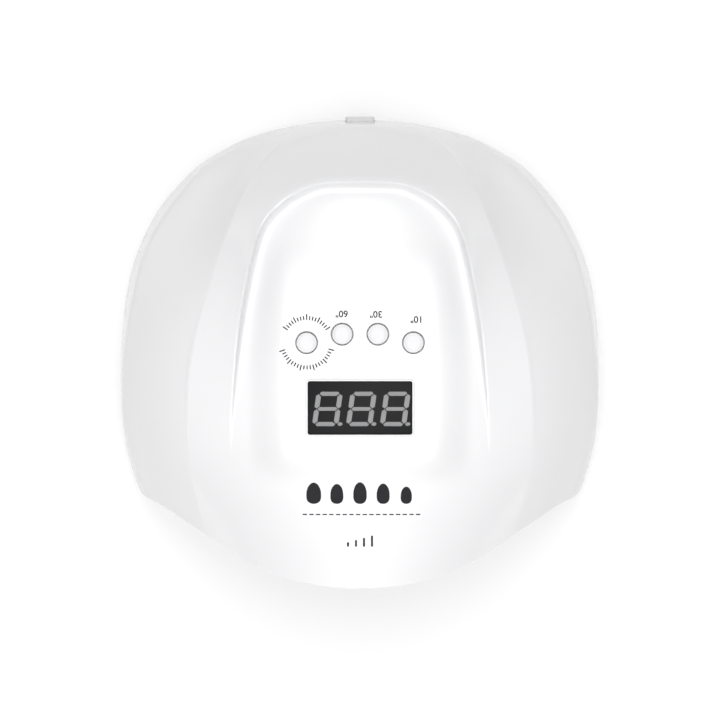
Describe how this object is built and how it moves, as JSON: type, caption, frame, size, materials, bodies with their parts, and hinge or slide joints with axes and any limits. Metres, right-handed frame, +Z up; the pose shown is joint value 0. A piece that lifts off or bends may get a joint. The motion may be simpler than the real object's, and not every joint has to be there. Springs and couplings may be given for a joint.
{
  "type": "uv curing lamp",
  "caption": "Domed open-fronted curing lamp for nails, with a sunk control panel of push buttons and a digit display, and a drop-off base tray.",
  "frame": {"origin": "centre of the footprint, on the table under the feet", "axes": "+X to the lamp's right seen from above with the mouth towards the viewer, +Y towards the back and its power socket, +Z up; the mouth for the hand faces -Y"},
  "size_m": [0.22, 0.215, 0.0866],
  "materials": {
    "white_gloss": "high-gloss moulded ABS",
    "button_white": "glossy, pale grey, slightly domed",
    "white_satin": "satin",
    "mirror_film": "polished reflective film",
    "window_black": "smoked glossy window",
    "inlet_grey": "satin",
    "black_plastic": "satin",
    "cream_plastic": "satin",
    "board_green": "solder mask",
    "led_board_white": "white solder mask, clear emitters",
    "screw_steel": "plated",
    "nickel": "nickel plate",
    "foot_rubber": "soft matt",
    "wire_red": "insulation",
    "wire_black": "insulation"
  },
  "bodies": {
    "housing": {"top_housing": "white_gloss", "display_bezel": "white_gloss", "display_module": "white_satin", "reflector_liner": "mirror_film", "display_window": "window_black", "inlet_housing": "inlet_grey", "sensor_emitter": "black_plastic", "sensor_receiver": "black_plastic", "capacitor_1": "black_plastic", "capacitor_2": "black_plastic", "controller_chip": "black_plastic", "driver_transistor": "black_plastic", "switch_10s": "black_plastic", "switch_30s": "black_plastic", "switch_60s": "black_plastic", "switch_99s": "black_plastic", "power_connector": "cream_plastic", "led_connector": "cream_plastic", "control_board": "board_green", "led_board_ceiling": "led_board_white", "led_board_back": "led_board_white", "led_board_left": "led_board_white", "led_board_right": "led_board_white", "thumb_board_left": "led_board_white", "thumb_board_right": "led_board_white", "board_screw_1": "screw_steel", "board_screw_2": "screw_steel", "board_screw_3": "screw_steel", "board_screw_4": "screw_steel", "housing_screw_1": "screw_steel", "housing_screw_2": "screw_steel", "housing_screw_3": "screw_steel", "housing_screw_4": "screw_steel", "magnet_1": "nickel", "magnet_2": "nickel", "magnet_3": "nickel", "magnet_4": "nickel", "inlet_pin": "nickel", "power_wire_red": "wire_red", "led_wire_red": "wire_red", "power_wire_black": "wire_black", "led_wire_black": "wire_black"},
    "button_10s_body": {"button_10s": "button_white", "plunger_10s": "cream_plastic"},
    "button_30s_body": {"button_30s": "button_white", "plunger_30s": "cream_plastic"},
    "button_60s_body": {"button_60s": "button_white", "plunger_60s": "cream_plastic"},
    "button_99s_body": {"button_99s": "button_white", "plunger_99s": "cream_plastic"},
    "tray": {"base_tray": "white_satin", "mirror_sheet": "mirror_film", "keeper_1": "screw_steel", "keeper_2": "screw_steel", "keeper_3": "screw_steel", "keeper_4": "screw_steel", "foot_1": "foot_rubber", "foot_2": "foot_rubber", "foot_3": "foot_rubber", "foot_4": "foot_rubber"}
  },
  "joints": [
    {"name": "housing_lift", "type": "slide", "parent": "tray", "child": "housing", "axis": [0, 0, 1], "range_m": [0, 0.06]},
    {"name": "button_10s_press", "type": "slide", "parent": "housing", "child": "button_10s_body", "axis": [0, 0.0732, -0.9973], "range_m": [0, 0.0008], "stiffness_N_per_m": 1200, "springref_m": -0.0003},
    {"name": "button_30s_press", "type": "slide", "parent": "housing", "child": "button_30s_body", "axis": [0, 0.0732, -0.9973], "range_m": [0, 0.0008], "stiffness_N_per_m": 1200, "springref_m": -0.0003},
    {"name": "button_60s_press", "type": "slide", "parent": "housing", "child": "button_60s_body", "axis": [0, 0.0732, -0.9973], "range_m": [0, 0.0008], "stiffness_N_per_m": 1200, "springref_m": -0.0003},
    {"name": "button_99s_press", "type": "slide", "parent": "housing", "child": "button_99s_body", "axis": [0, 0.0732, -0.9973], "range_m": [0, 0.0008], "stiffness_N_per_m": 1200, "springref_m": -0.0003}
  ]
}
